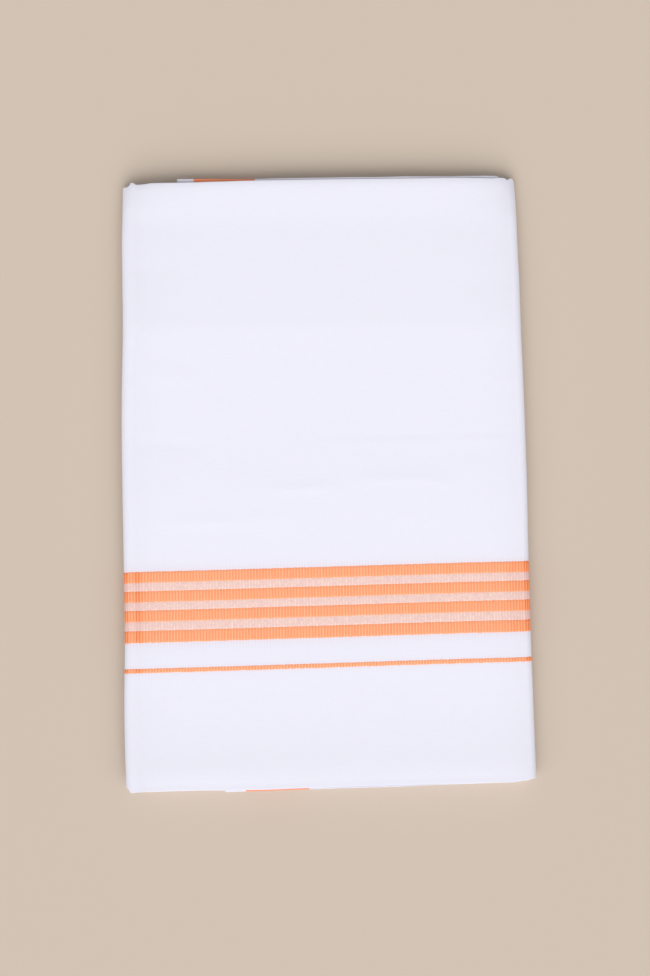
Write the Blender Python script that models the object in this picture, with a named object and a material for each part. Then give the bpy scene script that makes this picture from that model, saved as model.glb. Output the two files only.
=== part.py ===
"""A white cotton dhoti cloth, folded flat into a packet and laid on its back.

The cloth is folded across its width into a strip four plies thick, the strip is doubled
twice into a bundle, and the bundle is rolled flat in four panels.  X runs along the strip,
Y across it and Z up.  The packet rests on Z = 0, with the origin under its middle.
Every solid is drawn in a level, straight packet first and then carried into its real
place by placed(), so that all of them share one swell and one bowed outline.
"""

import math

import bmesh
import bpy
from mathutils import Vector

# Driving sizes of the packet.
PACKET_WIDTH = 0.242  # between the two rounded sides, at the packet's ends
THIN_HEIGHT = 0.0114  # where fewest plies lie on each other
WALL = 0.001  # one stretch of the strip, four plies pressed together
GAP = 0.0003

# Levels of the outer stretch's middle, from the surface up.
UNDER_LEVEL = WALL / 2
RETURN_LEVEL = UNDER_LEVEL + WALL + GAP
TUCK_LEVEL = RETURN_LEVEL + WALL + GAP
FRONT_LEVEL = THIN_HEIGHT - WALL / 2

# The three turns of the outer stretch.
SIDE_REACH = 0.0065  # how far the rounded sides run in from the outline
SIDE_BLUNTNESS = 2.5  # 2 is an ellipse, more is squarer
BACK_END_INSET = 0.008  # the back panel stops this far inside the left side
HIDDEN_END_INSET = 0.014  # both ends of the outer stretch lie this far in
BEND_STEPS = 10
FRONT_STEPS = 16
UNDER_STEPS = 8
SHORT_STEPS = 2

# The hidden plies, counted from the surface up.
LAYERS = 11
LAYER_HEIGHT = (FRONT_LEVEL - UNDER_LEVEL - WALL - 2 * GAP) / LAYERS
LAYER_NOSE = 0.0004  # how far a layer's fold rounds back at its two lips
LAYER_SHIFT = 0.0006  # how unevenly the folds lie on each other
LAYER_EDGE = 0.1822  # the layers' folds, from the middle of the packet
LAYER_CORNER_CUT = 0.0042  # how far the folds draw back inside the rounded sides
BACK_LAYERS = 3  # these end at the back panel's end
SQUEEZED_LAYER = 0.00006  # what is left of their height beyond it
SLOT_LAYERS = (7, 8)  # where the cloth's two cut ends come out
SLOT_DEPTH = 0.012
SLOT_RAMP = 0.0005
SIDE_SHARES = (0.02, 0.12, 0.35, 0.65)  # sections through a rounded side, from its end
INNER_STATIONS = (-0.03, -0.005, 0.02, 0.045, 0.07, 0.09)

# The two cut ends of the cloth show as slivers beyond the front's folds.
HEAD_END_FROM = -0.0875
HEAD_END_TO = 0.112
TAIL_END_FROM = -0.063
TAIL_END_TO = 0.108
END_STEPS = 12

# Below the first height nothing swells, and above the second everything rises alike.
SWELL_FROM = 0.0013
SWELL_TO = 0.0069

NOSE_ANGLES = (math.radians(18), math.radians(54))  # where a wall's round edge has points
SHARP_ANGLE = math.radians(50)

WHITE = (0.86, 0.86, 0.90)
SHADED_WHITE = (0.80, 0.80, 0.85)
ORANGE = (0.86, 0.36, 0.15)
COTTON_ROUGHNESS = 0.9

# How much higher the packet is than THIN_HEIGHT: it drops past the hidden plies' last
# fold, and springs up again at both ends.  Columns: Y, rise.
SWELL = (
    (-0.184, 0.0021),
    (-0.171, 0.0019),
    (-0.155, 0.0015),
    (-0.135, 0.0015),
    (-0.110, 0.0018),
    (-0.080, 0.0020),
    (-0.045, 0.0020),
    (-0.010, 0.0018),
    (0.025, 0.0019),
    (0.055, 0.0020),
    (0.075, 0.0021),
    (0.087, 0.0022),
    (0.097, 0.0019),
    (0.112, 0.0013),
    (0.130, 0.0006),
    (0.148, 0.0001),
    (0.160, 0.0000),
    (0.171, 0.0002),
    (0.184, 0.0005),
)
ROWS = tuple(row[0] for row in SWELL[1:-1]) + (0.177,)  # between a stretch's two edges

# How far the sides stand out beyond half of PACKET_WIDTH.  Columns: Y, left, right.
SIDE_BOW = (
    (-0.184, 0.0005, 0.0009),
    (-0.155, 0.0012, 0.0008),
    (-0.130, 0.0012, 0.0007),
    (-0.105, 0.0008, 0.0006),
    (-0.045, 0.0011, 0.0011),
    (0.000, 0.0017, 0.0015),
    (0.035, 0.0019, 0.0018),
    (0.070, 0.0012, 0.0018),
    (0.090, 0.0009, 0.0015),
    (0.120, 0.0010, 0.0016),
    (0.150, 0.0011, 0.0011),
    (0.170, 0.0004, 0.0009),
    (0.184, 0.0000, 0.0004),
)

# The outer stretch's two folded edges.  Its legs are numbered in the order the strip runs:
# 0 tuck, 1 left side, 2 front, 3 right side, 4 underside, 5 back end, 6 return; a place of
# 2.4 is four tenths of the way across the front.  Columns: place, lower edge, upper edge.
STRIP_EDGES = (
    (0.00, -0.1815, 0.1810),
    (1.00, -0.1812, 0.1800),
    (1.50, -0.1816, 0.1792),
    (1.80, -0.1836, 0.1815),
    (2.00, -0.1844, 0.1836),
    (2.02, -0.1843, 0.1828),
    (2.05, -0.1842, 0.1838),
    (2.20, -0.1840, 0.1839),
    (2.40, -0.1837, 0.1843),
    (2.70, -0.1832, 0.1842),
    (2.97, -0.1834, 0.1839),
    (3.00, -0.1829, 0.1836),
    (3.25, -0.1825, 0.1822),
    (3.50, -0.1815, 0.1790),
    (4.00, -0.1828, 0.1815),
    (4.50, -0.1836, 0.1826),
    (5.00, -0.1826, 0.1831),
    (6.00, -0.1822, 0.1824),
    (7.00, -0.1820, 0.1820),
)

# The folds of the two cut ends.  Columns: X, distance from the middle of the packet.
HEAD_END_FOLD = (
    (-0.0875, 0.1871),
    (-0.0400, 0.1865),
    (0.0000, 0.1868),
    (0.0500, 0.1872),
    (0.0940, 0.1874),
    (0.1060, 0.1871),
    (0.1120, 0.1860),
)
TAIL_END_FOLD = (
    (-0.0630, 0.1850),
    (-0.0150, 0.1849),
    (0.0100, 0.1848),
    (0.0400, 0.1845),
    (0.0550, 0.1840),
    (0.1000, 0.1837),
    (0.1080, 0.1838),
)


def read(table, key, column=1):
    """A table's value at key, eased between its rows and held beyond its ends."""
    if key <= table[0][0]:
        return table[0][column]
    for before, after in zip(table, table[1:]):
        if key <= after[0]:
            share = (key - before[0]) / (after[0] - before[0])
            share = share * share * (3 - 2 * share)
            return before[column] + (after[column] - before[column]) * share
    return table[-1][column]


def placed(x, y, z):
    """A point of the level, straight packet carried to where it really lies."""
    across = min(max(x / PACKET_WIDTH + 0.5, 0), 1)
    bow = read(SIDE_BOW, y, 2) * across - read(SIDE_BOW, y, 1) * (1 - across)
    raised = min(max((z - SWELL_FROM) / (SWELL_TO - SWELL_FROM), 0), 1)
    return Vector((x + bow, y, z + read(SWELL, y) * raised))


def cotton(name, colour):
    material = bpy.data.materials.new(name)
    material.use_nodes = True
    shader = material.node_tree.nodes["Principled BSDF"]
    shader.inputs["Base Color"].default_value = (*colour, 1)
    shader.inputs["Roughness"].default_value = COTTON_ROUGHNESS
    shader.inputs["Metallic"].default_value = 0
    return material


def loft(name, rings, material):
    """One closed body through rings, each given as two sides that face each other.

    The first and last rings are closed by rungs from one side to the other.
    """
    mesh = bpy.data.meshes.new(name)
    body = bmesh.new()
    loops = []
    for side, other_side in rings:
        loops.append([body.verts.new(point) for point in side + other_side[::-1]])
    for loop, following in zip(loops, loops[1:]):
        for i, vertex in enumerate(loop):
            body.faces.new((vertex, following[i], following[i - 1], loop[i - 1]))
    for loop in (loops[0], loops[-1]):
        for i in range(len(loop) // 2 - 1):
            body.faces.new((loop[i], loop[i + 1], loop[-2 - i], loop[-1 - i]))
    bmesh.ops.recalc_face_normals(body, faces=body.faces)
    body.to_mesh(mesh)
    body.free()
    mesh.shade_smooth()
    mesh.set_sharp_from_angle(angle=SHARP_ANGLE)
    mesh.materials.append(material)
    solid = bpy.data.objects.new(name, mesh)
    bpy.context.collection.objects.link(solid)


def side_turn(outline_x, low, high, direction):
    """The blunt half turn of a rounded side: up the left (-1) or down the right (+1)."""
    reach = SIDE_REACH - WALL / 2
    centre_x = outline_x - direction * SIDE_REACH
    points = []
    for step in range(BEND_STEPS + 1):
        angle = math.pi * step / BEND_STEPS
        out = math.sin(angle) ** (2 / SIDE_BLUNTNESS)
        rise = math.copysign(abs(math.cos(angle)) ** (2 / SIDE_BLUNTNESS), math.cos(angle))
        z = (low + high) / 2 + direction * rise * (high - low) / 2
        points.append((centre_x + direction * reach * out, z))
    return points


def back_end_turn(outline_x):
    """The small round turn at the back panel's end, from the underside up."""
    radius = (RETURN_LEVEL - UNDER_LEVEL) / 2
    points = []
    for step in range(BEND_STEPS + 1):
        angle = math.pi * step / BEND_STEPS
        x = outline_x + WALL / 2 + radius * (1 - math.sin(angle))
        points.append((x, UNDER_LEVEL + radius * (1 - math.cos(angle))))
    return points


def strip_path():
    """The outer stretch seen from its end: rows of place, X and Z, in running order."""
    left = -PACKET_WIDTH / 2
    right = PACKET_WIDTH / 2
    left_turn = side_turn(left, TUCK_LEVEL, FRONT_LEVEL, -1)
    right_turn = side_turn(right, UNDER_LEVEL, FRONT_LEVEL, 1)
    end_turn = back_end_turn(left + BACK_END_INSET)
    hidden_end = left + HIDDEN_END_INSET
    corners = (
        (hidden_end, TUCK_LEVEL),
        left_turn[0],
        left_turn[-1],
        right_turn[0],
        right_turn[-1],
        end_turn[0],
        end_turn[-1],
        (hidden_end, RETURN_LEVEL),
    )
    steps = (SHORT_STEPS, BEND_STEPS, FRONT_STEPS, BEND_STEPS, UNDER_STEPS, BEND_STEPS, SHORT_STEPS)
    turns = {1: left_turn, 3: right_turn, 5: end_turn}
    path = []
    for leg, count in enumerate(steps):
        places = {step / count for step in range(count)}
        if leg not in turns:
            places |= {row[0] - leg for row in STRIP_EDGES if leg < row[0] < leg + 1}
        for place in sorted(places):
            if leg in turns:
                x, z = turns[leg][round(place * count)]
            else:
                start, end = corners[leg], corners[leg + 1]
                x = start[0] + (end[0] - start[0]) * place
                z = start[1]
            path.append((leg + place, x, z))
    path.append((len(steps), *corners[-1]))
    return path


def wall_side(y_low, y_high, face):
    """Rows across the strip on one face of its wall: Y, and the offset from its middle."""
    radius = WALL / 2
    low_nose = [(y_low + radius * (1 - math.cos(a)), radius * math.sin(a)) for a in NOSE_ANGLES]
    high_nose = [(y_high - radius * (1 - math.cos(a)), radius * math.sin(a)) for a in NOSE_ANGLES]
    flat = [(y, radius) for y in (y_low + radius, *ROWS, y_high - radius)]
    return [(y, offset * face) for y, offset in low_nose + flat + high_nose[::-1]]


def outer_ply(material):
    """The stretch of the strip that wraps the packet, from its tuck round to its return."""
    path = strip_path()
    rings = []
    for i, (place, x, z) in enumerate(path):
        before = path[max(i - 1, 0)]
        after = path[min(i + 1, len(path) - 1)]
        along = Vector((after[1] - before[1], after[2] - before[2])).normalized()
        out_x, out_z = -along.y, along.x
        low = read(STRIP_EDGES, place, 1)
        high = read(STRIP_EDGES, place, 2)
        ring = []
        for face in (1, -1):
            rows = wall_side(low, high, face)
            ring.append([placed(x + out_x * off, y, z + out_z * off) for y, off in rows])
        rings.append(ring)
    loft("outer_ply", rings, material)


def turn_height(turned, low, high):
    """The lowest and highest level inside a rounded side, this share of its reach turned."""
    middle = (low + high) / 2
    half = (high - low) / 2 * (1 - turned**SIDE_BLUNTNESS) ** (1 / SIDE_BLUNTNESS)
    return middle - half, middle + half


def layer_levels(low, high, squeezed):
    """The levels between the hidden layers, the squeezed ones lowest."""
    levels = [low + SQUEEZED_LAYER * layer for layer in range(squeezed)]
    rest = low + SQUEEZED_LAYER * squeezed
    count = LAYERS - squeezed
    return levels + [rest + (high - rest) * layer / count for layer in range(count + 1)]


def layer_fold(layer, x, turned):
    """A hidden layer's fold, from the middle of the packet."""
    uneven = math.sin(2.4 * layer + 1) + 0.4 * math.sin(30 * x + layer)
    return LAYER_EDGE + LAYER_SHIFT * uneven - LAYER_CORNER_CUT * turned**2


def layered_edge(x, levels, turned, slot_share):
    """The hidden layers' folds at one end of the packet: rows of Y and Z, going up."""
    rows = []
    for layer, base in enumerate(levels[:-1]):
        fold = layer_fold(layer, x, turned)
        pitch = levels[layer + 1] - base
        rows.append((fold - LAYER_NOSE, base + 0.1 * pitch))
        rows.append((fold, base + 0.35 * pitch))
        rows.append((fold, base + 0.65 * pitch))
        rows.append((fold - LAYER_NOSE, base + 0.9 * pitch))
    first = 4 * SLOT_LAYERS[0]
    slot_low = levels[SLOT_LAYERS[0]]
    slot_height = levels[SLOT_LAYERS[-1] + 1] - slot_low
    back = LAYER_EDGE - SLOT_DEPTH
    slot = [(LAYER_EDGE - LAYER_SHIFT, slot_low), (back, slot_low)]
    slot += [(back, slot_low + slot_height * share) for share in (0.2, 0.4, 0.6, 0.8)]
    slot += [(back, slot_low + slot_height), (LAYER_EDGE - LAYER_SHIFT, slot_low + slot_height)]
    for i, (y, z) in enumerate(slot):
        plain_y, plain_z = rows[first + i]
        rows[first + i] = (
            plain_y + (y - plain_y) * slot_share,
            plain_z + (z - plain_z) * slot_share,
        )
    return rows


def inner_plies(material):
    """All that is folded away inside the outer stretch, layered at the packet's two ends."""
    inset = WALL + GAP
    left = -PACKET_WIDTH / 2 + inset
    right = PACKET_WIDTH / 2 - inset
    reach = SIDE_REACH - inset
    under = UNDER_LEVEL + WALL / 2 + GAP
    over_tuck = TUCK_LEVEL + WALL / 2 + GAP
    top = FRONT_LEVEL - WALL / 2 - GAP
    step_x = -PACKET_WIDTH / 2 + HIDDEN_END_INSET + GAP
    stations = [left + reach * share for share in (*SIDE_SHARES, 1)]
    stations += [step_x, step_x + SLOT_RAMP]
    for edge in (HEAD_END_FROM, TAIL_END_FROM):
        stations += [edge - GAP - SLOT_RAMP, edge - GAP]
    stations += INNER_STATIONS
    for edge in (HEAD_END_TO, TAIL_END_TO):
        stations += [edge + GAP, edge + GAP + SLOT_RAMP]
    stations += [right - reach * share for share in SIDE_SHARES]
    rings = []
    for x in sorted(stations):
        over_the_tuck = x <= step_x
        from_side = x - left if over_the_tuck else right - x
        turned = max(1 - from_side / reach, 0)
        low, high = turn_height(turned, over_tuck if over_the_tuck else under, top)
        levels = layer_levels(low, high, BACK_LAYERS if over_the_tuck else 0)
        head_open = HEAD_END_FROM - GAP <= x <= HEAD_END_TO + GAP
        tail_open = TAIL_END_FROM - GAP <= x <= TAIL_END_TO + GAP
        upper_end = layered_edge(x, levels, turned, float(head_open))
        lower_end = [(-y, z) for y, z in layered_edge(x, levels, turned, float(tail_open))]
        half = len(upper_end) // 2
        over = lower_end[half:] + [(y, high) for y in ROWS] + upper_end[half:][::-1]
        below = lower_end[:half][::-1] + [(y, low) for y in ROWS] + upper_end[:half]
        rings.append([[placed(x, y, z) for y, z in side] for side in (over, below)])
    loft("inner_plies", rings, material)


def end_ply(name, x_from, x_to, fold, direction, material):
    """A stretch beside one of the cloth's cut ends, seen where it stands out of the packet."""
    low = UNDER_LEVEL + WALL / 2 + GAP + LAYER_HEIGHT * SLOT_LAYERS[0]
    level = low + LAYER_HEIGHT * len(SLOT_LAYERS) / 2
    back = LAYER_EDGE - SLOT_DEPTH + GAP
    radius = WALL / 2
    rings = []
    for step in range(END_STEPS + 1):
        x = x_from + (x_to - x_from) * step / END_STEPS
        nose = read(fold, x)
        ring = []
        for face in (1, -1):
            rows = [(back, radius), (nose - radius, radius)]
            for angle in NOSE_ANGLES[::-1]:
                rows.append((nose - radius * (1 - math.cos(angle)), radius * math.sin(angle)))
            ring.append([placed(x, direction * y, level + face * off) for y, off in rows])
        rings.append(ring)
    loft(name, rings, material)


for old in list(bpy.data.objects):
    bpy.data.objects.remove(old, do_unlink=True)

orange_cotton = cotton("orange_cotton", ORANGE)

outer_ply(cotton("white_cotton", WHITE))
inner_plies(cotton("shaded_cotton", SHADED_WHITE))
end_ply("head_end_ply", HEAD_END_FROM, HEAD_END_TO, HEAD_END_FOLD, 1, orange_cotton)
end_ply("tail_end_ply", TAIL_END_FROM, TAIL_END_TO, TAIL_END_FOLD, -1, orange_cotton)
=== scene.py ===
"""A white cotton dhoti with an orange border, folded into a flat packet.

The real cloth is one length, about 3.8 m by 1.27 m.  It is folded across its width into a
strip, the strip is doubled twice into a bundle of four, and the bundle is rolled flat in
four panels.  X runs along the strip, Y across it and Z up, in metres.
"""

import math

import bpy
import numpy as np
from mathutils import Euler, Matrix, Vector, noise


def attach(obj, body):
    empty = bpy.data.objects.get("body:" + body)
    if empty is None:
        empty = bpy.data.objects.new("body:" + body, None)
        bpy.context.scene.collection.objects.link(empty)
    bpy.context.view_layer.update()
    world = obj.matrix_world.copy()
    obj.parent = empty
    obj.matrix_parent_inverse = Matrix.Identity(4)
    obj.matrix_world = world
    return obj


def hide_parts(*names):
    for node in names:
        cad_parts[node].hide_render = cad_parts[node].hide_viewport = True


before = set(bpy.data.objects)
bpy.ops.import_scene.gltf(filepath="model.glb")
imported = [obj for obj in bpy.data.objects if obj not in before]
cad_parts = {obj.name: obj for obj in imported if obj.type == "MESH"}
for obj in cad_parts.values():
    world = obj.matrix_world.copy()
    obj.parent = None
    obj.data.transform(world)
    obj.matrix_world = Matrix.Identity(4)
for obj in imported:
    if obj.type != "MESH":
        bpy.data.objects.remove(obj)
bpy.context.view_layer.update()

scene = bpy.context.scene

# ----------------------------------------------------------------------------------------
# The wrapping stretch: the outermost half metre of the folded strip.  It comes out of the
# roll at the left, passes over the front, round the right side and under the packet, and is
# folded back at the end of the back panel.  Plain-woven starched cotton, hot pressed.
# ----------------------------------------------------------------------------------------
PACKET_WIDTH = 0.242
THIN_HEIGHT = 0.0114
STRIP_LEVELS = 16
STRIP_WALL = 0.00064
LEVEL_PITCH = (THIN_HEIGHT - STRIP_WALL) / (STRIP_LEVELS - 1)
SIDE_REACH = 0.0065
FOLD_BLUNTNESS = 5
SIDE_BLUNTNESS = 2.35
BACK_END_INSET = 0.008
HIDDEN_END_INSET = 0.014

# How much higher the packet is than THIN_HEIGHT: it drops past the hidden selvedges and
# springs up again at both ends.  Columns: Y, rise.
SWELL = (
    (-0.190, 0.0020),
    (-0.184, 0.0020),
    (-0.174, 0.0019),
    (-0.161, 0.0015),
    (-0.148, 0.0012),
    (-0.134, 0.0011),
    (-0.110, 0.0013),
    (-0.080, 0.0014),
    (-0.045, 0.0017),
    (-0.010, 0.0020),
    (0.025, 0.0019),
    (0.055, 0.0020),
    (0.075, 0.0021),
    (0.090, 0.0022),
    (0.101, 0.0021),
    (0.114, 0.0019),
    (0.130, 0.0016),
    (0.146, 0.0013),
    (0.157, 0.0011),
    (0.169, 0.0011),
    (0.184, 0.0013),
    (0.190, 0.0014),
)

# How far the sides stand out beyond half of PACKET_WIDTH.  Columns: Y, left, right.
SIDE_BOW = (
    (-0.190, 0.0004, 0.0004),
    (-0.184, 0.0005, 0.0004),
    (-0.155, 0.0013, 0.0004),
    (-0.130, 0.0015, 0.0004),
    (-0.105, 0.0010, 0.0003),
    (-0.045, 0.0013, 0.0007),
    (0.000, 0.0018, 0.0013),
    (0.035, 0.0020, 0.0014),
    (0.070, 0.0014, 0.0012),
    (0.090, 0.0009, 0.0010),
    (0.120, 0.0010, 0.0011),
    (0.150, 0.0012, 0.0009),
    (0.170, 0.0008, 0.0009),
    (0.184, 0.0007, 0.0007),
    (0.190, 0.0007, 0.0007),
)

# The stretch's two folded edges.  Its legs are numbered in the order that the strip runs:
# 0 tuck, 1 left side, 2 front, 3 right side, 4 underside, 5 back end, 6 return.  Columns:
# place, lower edge, upper edge.
STRIP_EDGES = (
    (0.00, -0.1815, 0.1810),
    (1.00, -0.1812, 0.1800),
    (1.50, -0.1812, 0.1828),
    (1.66, -0.1816, 0.1827),
    (1.74, -0.1820, 0.1824),
    (1.78, -0.1830, 0.1822),
    (1.825, -0.1843, 0.1822),
    (1.86, -0.1842, 0.1823),
    (1.927, -0.1842, 0.1831),
    (1.962, -0.1841, 0.1849),
    (1.983, -0.1841, 0.1853),
    (2.003, -0.1839, 0.1843),
    (2.008, -0.1839, 0.1833),
    (2.015, -0.1838, 0.1830),
    (2.03, -0.1838, 0.1832),
    (2.05, -0.1837, 0.1837),
    (2.15, -0.1836, 0.1836),
    (2.23, -0.1839, 0.1839),
    (2.30, -0.1841, 0.1842),
    (2.34, -0.1841, 0.1843),
    (2.42, -0.1838, 0.1844),
    (2.58, -0.1833, 0.1845),
    (2.72, -0.1832, 0.1845),
    (2.85, -0.1833, 0.1847),
    (2.965, -0.1834, 0.1845),
    (2.98, -0.1829, 0.1850),
    (2.992, -0.1825, 0.1850),
    (3.02, -0.1824, 0.1845),
    (3.06, -0.1822, 0.1839),
    (3.12, -0.1817, 0.1848),
    (3.20, -0.1817, 0.1855),
    (3.30, -0.1819, 0.1854),
    (3.38, -0.1817, 0.1841),
    (3.50, -0.1814, 0.1808),
    (4.00, -0.1828, 0.1815),
    (4.50, -0.1836, 0.1826),
    (5.00, -0.1826, 0.1831),
    (6.00, -0.1822, 0.1824),
    (7.00, -0.1820, 0.1820),
)

# The woven border: four orange bands with pale ones between them, and a thin line.
# Columns: upper edge and lower edge on the strip, and kind.
BORDER_BANDS = (
    (-0.05418, -0.06061, "orange"),
    (-0.06061, -0.06568, "pale"),
    (-0.06568, -0.07215, "orange"),
    (-0.07215, -0.07708, "pale"),
    (-0.07708, -0.08374, "orange"),
    (-0.08374, -0.08902, "pale"),
    (-0.08902, -0.09612, "orange"),
    (-0.11143, -0.11385, "line"),
)
RIB_PITCH = 0.00179
RIB_HEIGHT = 0.00007

# How far the border strays across the strip, which isn't rolled quite straight.  Columns:
# place, as in STRIP_EDGES, and distance.
BORDER_DRIFT = (
    (0.0, -0.0006),
    (1.0, -0.0009),
    (2.0, -0.00095),
    (3.0, 0.00095),
    (4.0, 0.0008),
    (4.5, 0.0001),
    (5.0, -0.0006),
    (7.0, -0.0006),
)

# Soft ridges (height above 0) and troughs (below 0) on the front.  Columns: height, half
# width, and the points that the line runs through, in millimetres.
FRONT_CREASES = (
    (0.07, 5.0, ((-119, 94), (-60, 93), (0, 92.5), (60, 92), (119, 90.5))),
    (-0.16, 9.0, ((-119, 126), (-112, 128), (-88, 127))),
    (-0.16, 9.0, ((119, 118), (105, 119), (76, 118))),
    (0.13, 4.0, ((-50, -6.5), (-20, -7), (14, -6))),
    (0.13, 4.5, ((8, -3), (35, -2), (62, -3), (74, -5), (80, -12), (83, -24))),
    (0.12, 4.5, ((-108, -26), (-60, -26), (-12, -24))),
    (0.08, 4.0, ((38, -21), (56, -27))),
    (-0.05, 2.6, ((-12, 24.5), (50, 24.5), (124, 25))),
    (0.06, 3.2, ((-12, 20.5), (50, 20.5), (124, 21))),
    (-0.09, 5.0, ((-124, 23), (-62, 19))),
    (0.12, 7.0, ((-108, 62), (-68, 61))),
    (0.10, 5.0, ((96, 57), (121, 58))),
    (-0.30, 1.6, ((-114, 100), (-115.5, 70), (-115.5, 0), (-115, -60), (-113, -186))),
    (-0.28, 1.5, ((-111, 170), (-108, 152), (-107.5, 96))),
    (-0.20, 1.0, ((116, 186), (116.6, 0), (116.4, -186))),
    (-0.08, 0.9, ((-122, -180.4), (0, -180.6), (122, -179.4))),
    (0.12, 9.0, ((-112, -174), (-38, -176))),
)

# A crease dies out over CREASE_FADE at its ends.  Its height strays by up to CREASE_STRAY,
# in waves of CREASE_WAVE radians to the metre.
CREASE_FADE = 0.02
CREASE_STRAY = 0.2
CREASE_WAVE = 90
CREASE_SHARPNESS = 1.6

# Slight unevenness all over the front.  Columns: height, size of a hump, seed.
FRONT_WAVES = ((0.00007, 0.045, 3.1), (0.00003, 0.014, 8.4))

# How the front droops (above 0) or lifts (below 0) beside its lower and upper folds.
# Columns: depth, reach.
LOWER_DROOP = (-0.00006, 0.0010)
UPPER_DROOP = (0.00055, 0.0024)

# How the packet thins towards its sides and its upper corners.  Columns: side (-1 left, 1
# right, 0 both), depth, reach from the side, and the Y from which and to which it grows.
THINNING = (
    (0, 0.0008, 0.008, -0.30, -0.20),
    (0, 0.0011, 0.035, 0.095, 0.159),
    (0, 0.0028, 0.0045, 0.154, 0.184),
    (-1, 0.0014, 0.016, 0.168, 0.184),
    (1, 0.0024, 0.016, 0.160, 0.184),
)
THINNING_POWER = 1.2

# The front's relief fades out downwards, and the underside's upwards, by these powers.
FRONT_FADE_POWER = 2
UNDER_FADE_POWER = 6

# The underside is lifted by a rib's height between these two Y, so that no rib stands below
# the surface.  Its troughs are the front's ridges, seen from below and moved in Y.
RIB_ROOM = (-0.1181, -0.0491)
RIB_ROOM_SLOPE = 0.001
UNDER_CREASE_SHIFT = 0.012


def eased(table, keys, column=1):
    """A table's values at the keys, eased between its rows and held beyond its ends."""
    rows = np.array(table, float)
    places, values = rows[:, 0], rows[:, column]
    keys = np.asarray(keys, float)
    i = np.clip(np.searchsorted(places, keys) - 1, 0, len(places) - 2)
    share = np.clip((keys - places[i]) / (places[i + 1] - places[i]), 0, 1)
    share = share * share * (3 - 2 * share)
    return values[i] + (values[i + 1] - values[i]) * share


def curved(table, keys, column=1):
    """A table's values at the keys, on one smooth curve through its rows."""
    rows = np.array(table, float)
    places, values = rows[:, 0], rows[:, column]
    slopes = np.gradient(values, places)
    keys = np.clip(np.asarray(keys, float), places[0], places[-1])
    i = np.clip(np.searchsorted(places, keys) - 1, 0, len(places) - 2)
    gap = places[i + 1] - places[i]
    t = (keys - places[i]) / gap
    return (
        values[i] * (1 + 2 * t) * (1 - t) ** 2
        + values[i + 1] * t**2 * (3 - 2 * t)
        + gap * slopes[i] * t * (1 - t) ** 2
        - gap * slopes[i + 1] * t**2 * (1 - t)
    )


def distance_run(line):
    """How far each point of a line lies along it."""
    steps = np.linalg.norm(np.diff(line, axis=0), axis=1)
    return np.concatenate([[0], np.cumsum(steps)])


def waves(x, y, size, seed):
    """Smooth unevenness between -1 and 1, about size metres from hump to hump."""
    flat = np.stack([np.ravel(x), np.ravel(y)], axis=1) / size
    found = [noise.noise(Vector((a, b, seed))) for a, b in flat]
    return np.array(found).reshape(np.shape(x))


def crease_height(x, y):
    """The summed height of the front's creases at each point."""
    total = np.zeros(np.shape(x))
    for height, half_width, line in FRONT_CREASES:
        points = np.array(line, float) / 1000
        ran = distance_run(points)
        nearest = np.full(np.shape(x), np.inf)
        along = np.zeros(np.shape(x))
        for start, end, begun, done in zip(points, points[1:], ran, ran[1:]):
            step = (end - start) / (done - begun)
            dx, dy = x - start[0], y - start[1]
            t = np.clip(dx * step[0] + dy * step[1], 0, done - begun)
            away = np.hypot(dx - t * step[0], dy - t * step[1])
            closer = away < nearest
            nearest = np.where(closer, away, nearest)
            along = np.where(closer, begun + t, along)
        fade = min(CREASE_FADE, ran[-1] / 3)
        ends = np.clip(np.minimum(along, ran[-1] - along) / fade, 0, 1)
        stray = 1 - CREASE_STRAY + CREASE_STRAY * np.sin(along * CREASE_WAVE + half_width)
        strength = ends * ends * (3 - 2 * ends) * stray
        spread = (nearest / (half_width / 1000)) ** 2
        total += height / 1000 * strength * np.exp(-spread * CREASE_SHARPNESS)
    return total


def front_relief(x, y):
    """How the front stands above its swell: creases, drooping rims and slight waves."""
    relief = crease_height(x, y)
    for height, size, seed in FRONT_WAVES:
        relief += height * waves(x, y, size, seed)
    front_end = PACKET_WIDTH / 2 - SIDE_REACH
    place = np.interp(x, (-front_end, front_end), (2, 3))
    from_low = np.clip(y - eased(STRIP_EDGES, place, 1), 0, None)
    from_high = np.clip(eased(STRIP_EDGES, place, 2) - y, 0, None)
    for (depth, reach), away in ((LOWER_DROOP, from_low), (UPPER_DROOP, from_high)):
        relief -= depth * np.exp(-away / reach)
    return relief


def thinned(x, y):
    """How much the packet's height falls short of its swell, near its sides and corners."""
    fall = np.zeros(np.shape(x))
    for side, depth, reach, start, end in THINNING:
        outward = side * x if side else np.abs(x)
        away = np.clip(PACKET_WIDTH / 2 - outward, 0, None)
        grown = np.clip((y - start) / (end - start), 0, 1)
        fall += depth * np.exp(-away / reach) * grown**THINNING_POWER
    return fall


def under_relief(x, y):
    """How the underside lifts off the surface: creases, and the depth of the border's ribs."""
    lifted = np.clip(-crease_height(-x, y + UNDER_CREASE_SHIFT), 0, None)
    inside = np.minimum(y - RIB_ROOM[0], RIB_ROOM[1] - y)
    return np.maximum(lifted, RIB_HEIGHT * np.clip(inside / RIB_ROOM_SLOPE, 0, 1))


def placed(x, y, z):
    """Points of a level, straight packet carried to where they really lie."""
    across = np.clip(x / PACKET_WIDTH + 0.5, 0, 1)
    bow = curved(SIDE_BOW, y, 2) * across - curved(SIDE_BOW, y, 1) * (1 - across)
    share = np.clip(z / THIN_HEIGHT, 0, 1)
    rise = (curved(SWELL, y) - thinned(x, y)) * share
    rise = rise + front_relief(x + bow, y) * share**FRONT_FADE_POWER
    rise = rise + under_relief(x + bow, y) * (1 - share) ** UNDER_FADE_POWER
    return np.stack([x + bow, y, z + rise], axis=-1)


def level_height(level):
    """The middle of a strip level's wall, from the surface up."""
    return STRIP_WALL / 2 + level * LEVEL_PITCH


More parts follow.
